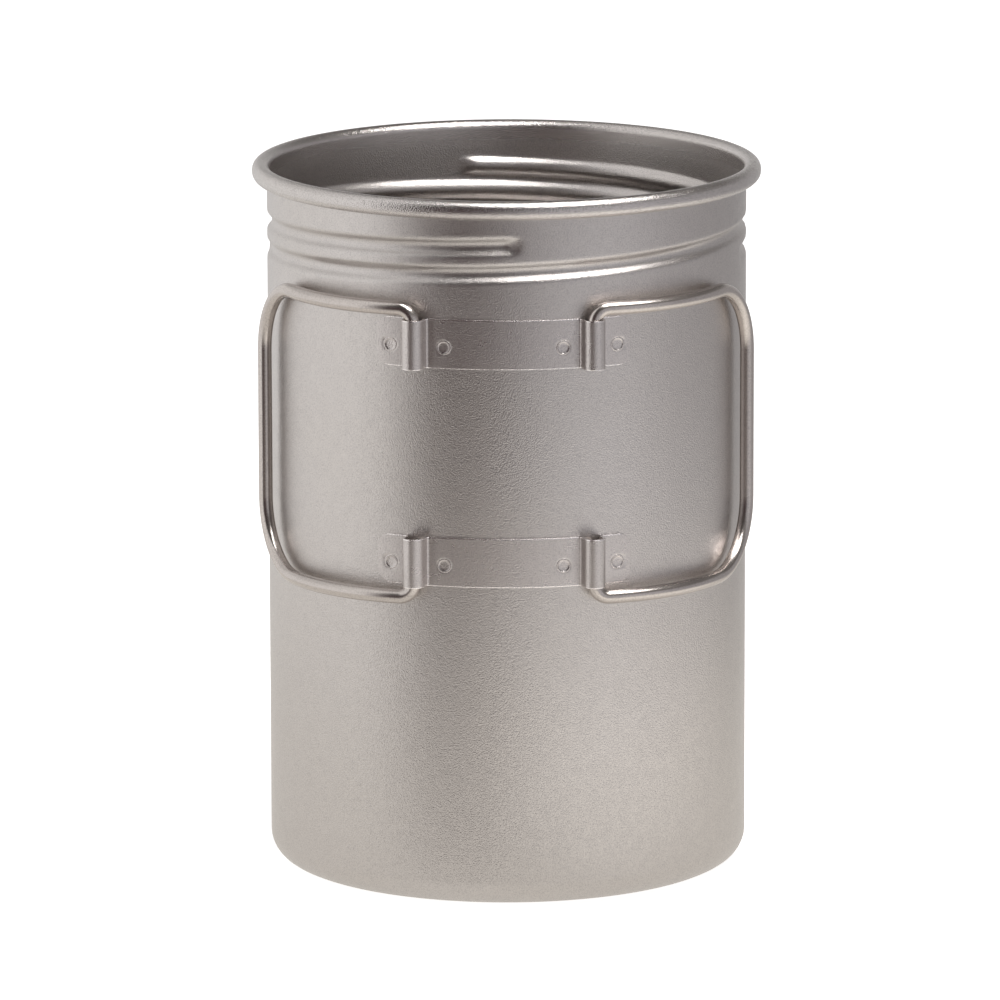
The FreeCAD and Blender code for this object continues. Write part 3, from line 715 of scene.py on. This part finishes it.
# %% [markdown]
# ## Blasted titanium
#
# The pot's skin was blasted with fine beads, which leaves a satin surface of tiny dents.
# Each dent mirrors a different part of the room, so the sheet looks grainy where light
# meets dark. Three sizes of noise make it: dents, patches of uneven blasting, and a wide
# drift in tone. All read object coordinates, so that the pattern has the same size on
# every piece. The rolled rim is a little smoother. The straps' cut edges are smoother
# too, and carry a painted highlight: a bright colour at their heights.

# %% The blasted sheet as a function
DENT_SCALE = 4200.0
PATCH_SCALE = 420.0
DRIFT_SCALE = 21.0
DRIFT_CONTRAST = 1.6
DRIFT_START = 0.3
DENT_SHARE = 0.85
PATCH_SHARE = 0.15
SPECKLE_CONTRAST = 4.0
SPECKLE_START = 1.75
SPECKLE_SHADE = 0.80
DRIFT_ROUGHNESS = 0.05
BUMP_DISTANCE = 0.00012
PATCH_BUMP = 0.05
RIM_BLEND = 0.6 * MM
# Painted highlight: a bright colour along the straps' cut edges, where their bevels would catch
# the light.
PAINTED_EDGE_HIGHLIGHT = (0.92, 0.88, 0.86)
EDGE_REACH = 0.21 * MM
EDGE_FULL = 0.6 * EDGE_REACH
EDGE_POLISH = 0.16


def titanium(name, tone, warm_tone, roughness, grain, mottle, rim=0.0, edges=()):
    """Blasted metal, smoother by rim on the rolled rim; painted highlight at the edges' heights.
    """
    material = bpy.data.materials.new(name)
    material.use_nodes = True
    finish = Finish(material.node_tree)
    place = finish.flow(finish.node("ShaderNodeTexCoord"), 3)
    dents = finish.flow(finish.node("ShaderNodeTexNoise", Vector=place, Scale=DENT_SCALE,
                                    Detail=1.0, Roughness=0.5))
    patches = finish.flow(finish.node("ShaderNodeTexNoise", Vector=place, Scale=PATCH_SCALE,
                                      Detail=4.0, Roughness=0.62))
    drift = finish.flow(finish.node("ShaderNodeTexNoise", Vector=place, Scale=DRIFT_SCALE,
                                    Detail=2.0, Roughness=0.5))
    tones = finish.blend(drift * DRIFT_CONTRAST - DRIFT_START, tone, warm_tone)
    speckle = dents * DENT_SHARE + patches * PATCH_SHARE
    tones = finish.blend(speckle * SPECKLE_CONTRAST - SPECKLE_START, tones,
                         tuple(part * SPECKLE_SHADE for part in tone))
    rough = roughness + (patches - 0.5) * mottle + (drift - 0.5) * DRIFT_ROUGHNESS
    level = finish.flow(finish.node("ShaderNodeSeparateXYZ", Vector=place), 2)
    for edge in edges:
        away = finish.node("ShaderNodeMath", {"operation": "ABSOLUTE"}, Value=level - edge)
        close = finish.rise(finish.flow(away), EDGE_REACH, EDGE_FULL)
        # Painted highlight: the colour turns bright within reach of each edge height, and the
        # finish is smoother there.
        tones = finish.blend(close, tones, PAINTED_EDGE_HIGHLIGHT)
        rough = rough - close * EDGE_POLISH
    if rim:
        rolled = POT_HEIGHT - RIM_HEIGHT
        rough = rough - finish.rise(level, rolled - RIM_BLEND, rolled + RIM_BLEND) * rim
    bump = finish.node("ShaderNodeBump", Strength=grain, Distance=BUMP_DISTANCE,
                       Height=dents + patches * PATCH_BUMP)
    shader = finish.node("ShaderNodeBsdfPrincipled", Base_Color=tones, Roughness=rough,
                         Metallic=1.0, Normal=finish.flow(bump))
    finish.show(shader)
    print("finish", name)
    return material


# %% Its settings for each piece
strap_edges = [corner[2] for node in ("upper_hinge_strap", "lower_hinge_strap")
               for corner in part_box(node)]
POT_TONE = (0.635, 0.602, 0.590)
POT_WARM = (0.64, 0.603, 0.574)
STRAP_TONE = (0.64, 0.60, 0.59)
STRAP_WARM = (0.645, 0.603, 0.575)
WIRE_TONE = (0.60, 0.555, 0.53)
WIRE_WARM = (0.61, 0.555, 0.515)
pot_finish = titanium("blasted_titanium", POT_TONE, POT_WARM, 0.31, 0.62, 0.10, rim=0.07)
strap_finish = titanium("strap_titanium", STRAP_TONE, STRAP_WARM, 0.29, 0.5, 0.10,
                        edges=strap_edges)
weld_finish = titanium("weld_titanium", STRAP_TONE, STRAP_WARM, 0.27, 0.4, 0.10)
wire_finish = titanium("drawn_wire_titanium", WIRE_TONE, WIRE_WARM, 0.23, 0.06, 0.06)


def dress(piece, material):
    """Give a piece one material in place of any it has."""
    piece.data.materials.clear()
    piece.data.materials.append(material)


dress(pot, pot_finish)
for place in ("upper", "lower"):
    dress(bpy.data.objects[place + "_strap"], strap_finish)
    dress(bpy.data.objects[place + "_welds"], weld_finish)
for piece in (handle, left_handle):
    dress(piece, wire_finish)

# %% [markdown]
# ## The camera
#
# A long lens from well back keeps the pot's sides nearly parallel. The camera stands
# in front, a little to the right of the straps' middle, and looks down by twelve
# degrees, so that the inside of the far rim shows.

# %% Place the camera
CAMERA_DISTANCE = 1.853
CAMERA_PITCH = math.radians(11.73)
CAMERA_ROLL = math.radians(-0.137)
CAMERA_TURN = math.radians(0.85)
CAMERA_TARGET = Vector((-1.455, 0.0, 72.65)) * MM
SENSOR_WIDTH = 36.0
LENS_LENGTHS = 9.19
FARTHEST_SEEN = 20.0

around = Matrix.Rotation(CAMERA_TURN, 3, "Z")
target = around @ CAMERA_TARGET
back = around @ Vector((0.0, -math.cos(CAMERA_PITCH), math.sin(CAMERA_PITCH)))
start_object_mode()
lens = bpy.data.cameras.new("studio_camera")
camera = bpy.data.objects.new("studio_camera", lens)
bpy.context.collection.objects.link(camera)
lens.sensor_width = SENSOR_WIDTH
lens.lens = LENS_LENGTHS * SENSOR_WIDTH
lens.clip_end = FARTHEST_SEEN
facing = back.to_track_quat("Z", "Y").to_matrix() @ Matrix.Rotation(CAMERA_ROLL, 3, "Z")
camera.matrix_world = Matrix.Translation(target + back * CAMERA_DISTANCE) @ facing.to_4x4()
bpy.context.scene.camera = camera
print("lens", round(lens.lens), "mm")

# %% [markdown]
# ## The studio
#
# Metal shows its surroundings more than its own colour, so the light is set up as
# things to reflect: a large white screen on the left, a dimmer one on the right, a dark
# room behind the camera and a soft box overhead. The pale floor is left out of the
# reflections, and a hidden bright mat round the pot takes its place there, which
# makes the lower part of the pot lighter than the top.

# %% Surroundings that change with direction
world = bpy.data.worlds.new("studio")
bpy.context.scene.world = world
world.use_nodes = True
room = Finish(world.node_tree)
look = room.flow(room.node("ShaderNodeTexCoord"), 0)
parts = room.node("ShaderNodeSeparateXYZ", Vector=look)
look_x, look_y, look_z = (room.flow(parts, index) for index in range(3))
turn_node = room.node("ShaderNodeMath", {"operation": "ARCTAN2"})
room.tree.links.new(look_x.socket, turn_node.inputs[0])
room.tree.links.new((look_y * -1.0).socket, turn_node.inputs[1])
share = room.flow(turn_node) * (0.5 / math.pi) + 0.5
print("a direction's place on the ramp comes from its turn, its level from its height")


# %% The room's tones at eye level and higher up
def screen(degrees):
    """Where a direction round the pot, in degrees from the front, lies on the ramp."""
    return degrees / 360.0 + 0.5


LOW_STOPS = (
    (0.0, (0.62, 0.61, 0.60)),
    (1.0, (0.62, 0.61, 0.60)),
    (screen(-140), (0.93, 0.92, 0.91)),
    (screen(-58), (1.02, 1.01, 1.00)),
    (screen(-41), (0.075, 0.052, 0.054)),
    (screen(-12), (0.075, 0.052, 0.054)),
    (screen(25), (0.51, 0.505, 0.525)),
    (screen(54), (0.62, 0.615, 0.64)),
    (screen(85), (0.43, 0.42, 0.435)),
    (screen(135), (0.40, 0.39, 0.395)),
)
HIGH_STOPS = (
    (0.0, (0.12, 0.11, 0.105)),
    (1.0, (0.12, 0.11, 0.105)),
    (screen(-140), (0.70, 0.69, 0.68)),
    (screen(-58), (0.98, 0.97, 0.96)),
    (screen(-40), (0.07, 0.062, 0.06)),
    (screen(-10), (0.07, 0.062, 0.06)),
    (screen(40), (0.22, 0.21, 0.205)),
    (screen(120), (0.18, 0.17, 0.165)),
)


ZENITH_TONE = (0.33, 0.31, 0.305)
WALL_RISE = (0.24, 0.46)
ZENITH_RISE = (0.90, 0.98)
low_tone = room.flow(room.node("ShaderNodeValToRGB", {"stops": LOW_STOPS}, Fac=share))
high_tone = room.flow(room.node("ShaderNodeValToRGB", {"stops": HIGH_STOPS}, Fac=share))
tone = room.blend(room.rise(look_z, *WALL_RISE), low_tone, high_tone)
tone = room.blend(room.rise(look_z, *ZENITH_RISE), tone, ZENITH_TONE)
room.show(room.node("ShaderNodeBackground", Color=tone, Strength=1.0), "ShaderNodeOutputWorld")
print("room of", len(LOW_STOPS), "low and", len(HIGH_STOPS), "high tones")

# %% The overhead soft box
BOX_PLACE = Vector((0.25, -0.24, 0.92))
BOX_AIM = Vector((0.0, 0.0, 0.12))
BOX_SIDE = 0.62
BOX_WATTS = 8.5
BOX_TONE = (1.0, 0.985, 0.97)

light = bpy.data.lights.new("overhead_box", "AREA")
light.shape = "SQUARE"
light.size = BOX_SIDE
light.energy = BOX_WATTS
light.color = BOX_TONE
lamp = bpy.data.objects.new("overhead_box", light)
bpy.context.collection.objects.link(lamp)
facing = (BOX_PLACE - BOX_AIM).to_track_quat("Z", "Y").to_matrix()
lamp.matrix_world = Matrix.Translation(BOX_PLACE) @ facing.to_4x4()
lamp.visible_camera = False
print("soft box", round((BOX_PLACE - BOX_AIM).length, 2), "m from the pot")

# %% The pale floor
FLOOR_DEPTH = 0.2 * MM
FLOOR_RADIUS = 6.0
FLOOR_TONE = (0.86, 0.86, 0.86, 1.0)
FLOOR_GLOW = 0.75
DISC_POINTS = 96
DISC_INSETS = 3


def stage_disc(name, radius, depth):
    """A round, level sheet of rings under the pot, which is no part of it."""
    start_object_mode()
    bpy.ops.mesh.primitive_circle_add(vertices=DISC_POINTS, radius=radius, fill_type="NGON",
                                      location=(0, 0, -depth))
    disc = named(name)
    bpy.ops.object.mode_set(mode="EDIT")
    bpy.ops.mesh.select_all(action="SELECT")
    for _ in range(DISC_INSETS):
        bpy.ops.mesh.inset(thickness=radius / (DISC_INSETS + 1), depth=0)
    start_object_mode()
    return disc


floor = stage_disc("floor", FLOOR_RADIUS, FLOOR_DEPTH)
floor_material = bpy.data.materials.new("pale_floor")
floor_material.use_nodes = True
floor_finish = Finish(floor_material.node_tree)
floor_finish.show(floor_finish.node("ShaderNodeBsdfPrincipled",
                                    Base_Color=FLOOR_TONE, Roughness=0.9,
                                    Emission_Color=(1.0, 1.0, 1.0, 1.0),
                                    Emission_Strength=FLOOR_GLOW))
dress(floor, floor_material)
floor.visible_glossy = False
print("floor", FLOOR_RADIUS, "m in radius")

# %% The hidden bright mat
MAT_DEPTH = 0.4 * MM
MAT_RADIUS = 0.55
MAT_FADE = (0.10, 0.46)
MAT_TURN = 9.4
MAT_START = 0.8
MAT_DIM = (0.80, 0.77, 0.72)
MAT_BRIGHT = (1.26, 1.22, 1.15)

mat = stage_disc("bright_mat", MAT_RADIUS, MAT_DEPTH)
mat_material = bpy.data.materials.new("mat_glow")
mat_material.use_nodes = True
mat_finish = Finish(mat_material.node_tree)
mat_place = mat_finish.flow(mat_finish.node("ShaderNodeTexCoord"), 3)
reach = mat_finish.node("ShaderNodeVectorMath", {"operation": "LENGTH"}, Vector=mat_place)
fade = mat_finish.rise(mat_finish.flow(reach, "Value"), *MAT_FADE)
mat_parts = mat_finish.node("ShaderNodeSeparateXYZ", Vector=mat_place)
mat_x, mat_y = (mat_finish.flow(mat_parts, index) for index in range(2))
mat_share = mat_finish.node("ShaderNodeClamp", Value=(mat_x - mat_y) * MAT_TURN - MAT_START)
mat_tone = mat_finish.blend(mat_finish.flow(mat_share), MAT_DIM, MAT_BRIGHT)
glow = mat_finish.node("ShaderNodeEmission", Color=mat_tone, Strength=1.0)
clear = mat_finish.node("ShaderNodeBsdfTransparent")
joined = mat_finish.node("ShaderNodeMixShader", Fac=fade)
mat_finish.tree.links.new(glow.outputs[0], joined.inputs[1])
mat_finish.tree.links.new(clear.outputs[0], joined.inputs[2])
mat_finish.show(joined)
dress(mat, mat_material)
mat.visible_camera = False
mat.visible_diffuse = False
mat.visible_shadow = False
print("mat fades out from", MAT_FADE[0], "to", MAT_FADE[1], "m")

bpy.context.scene.view_settings.view_transform = "Standard"
